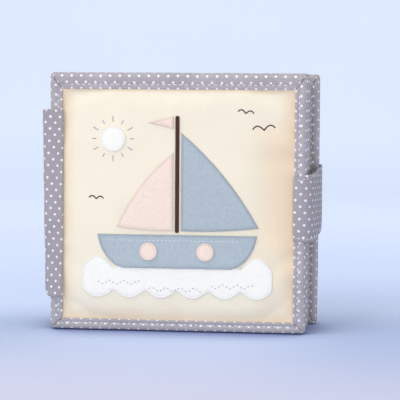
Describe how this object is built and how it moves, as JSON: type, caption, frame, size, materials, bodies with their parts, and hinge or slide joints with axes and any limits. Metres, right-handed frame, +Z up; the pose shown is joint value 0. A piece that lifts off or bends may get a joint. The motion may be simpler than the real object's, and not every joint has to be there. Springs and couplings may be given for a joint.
{
  "type": "baby activity book",
  "caption": "Soft cloth activity book with padded bound leaves, a cloth spine, a wrap-around closure and play pages with clock, zip, flower and beads.",
  "frame": {"origin": "centre of the bounding box's bottom, on the surface that the book stands on", "axes": "+X to the right of the front cover, from spine to closure; the front cover faces -Y; +Z up along the spine"},
  "size_m": [0.2184, 0.059, 0.2],
  "materials": {
    "batting": "white polyester batting",
    "cream_cloth": "plain-woven cotton, cream",
    "blue_cloth": "plain-woven cotton, pale blue",
    "pink_cloth": "plain-woven cotton, pale pink",
    "dotted_cloth": "grey cotton with small white dots",
    "blue_felt": "blue-grey craft felt",
    "white_felt": "white craft felt",
    "pink_felt": "pale pink craft felt",
    "brown_felt": "dark brown craft felt",
    "green_felt": "sage green craft felt",
    "hook_and_loop": "grey hook-and-loop tape",
    "beech": "smooth oiled beech",
    "button_plastic": "glossy cream resin",
    "zip_plastic": "blue-grey acetal",
    "zip_tape": "woven zip tape with moulded teeth"
  },
  "bodies": {
    "back_leaf": {"back_batting": "batting", "page_5_panel": "pink_cloth", "back_cover_panel": "cream_cloth", "back_binding": "dotted_cloth", "spine_back_lap": "dotted_cloth", "loop_patch": "hook_and_loop", "bead_ribbon_1": "dotted_cloth", "bead_ribbon_2": "dotted_cloth", "bead_ribbon_3": "dotted_cloth", "felt_arch_1": "blue_felt", "felt_arch_2": "pink_felt", "felt_arch_3": "white_felt"},
    "middle_leaf": {"middle_batting": "batting", "page_3_panel": "cream_cloth", "page_4_panel": "cream_cloth", "middle_binding": "dotted_cloth", "spine_middle": "dotted_cloth", "pocket_panel": "blue_cloth", "zip_facing": "blue_cloth", "zip_row_lower": "zip_tape", "zip_row_upper": "zip_tape", "flower_stem": "green_felt", "flower_leaf_right": "green_felt", "flower_leaf_left": "green_felt", "flower_button": "button_plastic"},
    "front_leaf": {"front_batting": "batting", "front_cover_panel": "cream_cloth", "page_2_panel": "blue_cloth", "front_binding": "dotted_cloth", "spine_front_lap": "dotted_cloth", "closure_lap": "dotted_cloth", "felt_sea": "white_felt", "felt_hull": "blue_felt", "felt_mainsail": "blue_felt", "felt_jib": "pink_felt", "felt_mast": "brown_felt", "felt_pennant": "pink_felt", "felt_sun": "white_felt", "felt_porthole_left": "pink_felt", "felt_porthole_right": "pink_felt", "clock_dial": "white_felt", "clock_button": "button_plastic"},
    "closure_strap": {"closure_side": "dotted_cloth"},
    "closure_end": {"closure_flap": "dotted_cloth", "hook_patch": "hook_and_loop"},
    "hour_hand": {"hour_hand": "blue_felt"},
    "minute_hand": {"minute_hand": "brown_felt"},
    "zip_slider": {"zip_slider": "zip_plastic", "zip_pull": "zip_plastic"},
    "flower": {"flower": "pink_felt"},
    "bead_1": {"bead_1": "beech"},
    "bead_2": {"bead_2": "beech"},
    "bead_3": {"bead_3": "beech"}
  },
  "joints": [
    {"name": "page_hinge", "type": "hinge", "parent": "back_leaf", "child": "middle_leaf", "pos_m": [-0.1096, 0.00955, 0.099], "axis": [0, 0, 1], "range_deg": [-180, 0], "deforming": ["closure_flap", "hook_patch"]},
    {"name": "cover_hinge", "type": "hinge", "parent": "middle_leaf", "child": "front_leaf", "pos_m": [-0.1096, -0.00945, 0.099], "axis": [0, 0, -1], "range_deg": [0, 180], "deforming": ["closure_flap", "hook_patch"]},
    {"name": "closure_fold", "type": "hinge", "parent": "front_leaf", "child": "closure_strap", "pos_m": [0.09919, -0.02705, 0.0965], "axis": [0, 0, -1], "range_deg": [0, 55]},
    {"name": "closure_peel", "type": "hinge", "parent": "closure_strap", "child": "closure_end", "pos_m": [0.10919, 0.02955, 0.0965], "axis": [0, 0, -1], "range_deg": [0, 110]},
    {"name": "hour_hand_turn", "type": "hinge", "parent": "front_leaf", "child": "hour_hand", "pos_m": [-0.00351, -0.01145, 0.084], "axis": [0, 1, 0], "continuous": true},
    {"name": "minute_hand_turn", "type": "hinge", "parent": "front_leaf", "child": "minute_hand", "pos_m": [-0.00351, -0.01005, 0.084], "axis": [0, 1, 0], "continuous": true},
    {"name": "zip_slide", "type": "slide", "parent": "middle_leaf", "child": "zip_slider", "axis": [1, 0, 0], "range_m": [0, 0.11]},
    {"name": "flower_spin", "type": "hinge", "parent": "middle_leaf", "child": "flower", "pos_m": [0.00149, 0.0075, 0.124], "axis": [0, 1, 0], "continuous": true},
    {"name": "bead_1_slide", "type": "slide", "parent": "back_leaf", "child": "bead_1", "axis": [1, 0, 0], "range_m": [0, 0.084]},
    {"name": "bead_2_slide", "type": "slide", "parent": "back_leaf", "child": "bead_2", "axis": [1, 0, 0], "range_m": [0, 0.084]},
    {"name": "bead_3_slide", "type": "slide", "parent": "back_leaf", "child": "bead_3", "axis": [1, 0, 0], "range_m": [0, 0.084]}
  ],
  "couplings": [
    {"joint": "closure_fold", "follows": "closure_peel", "ratio": 0.5}
  ]
}
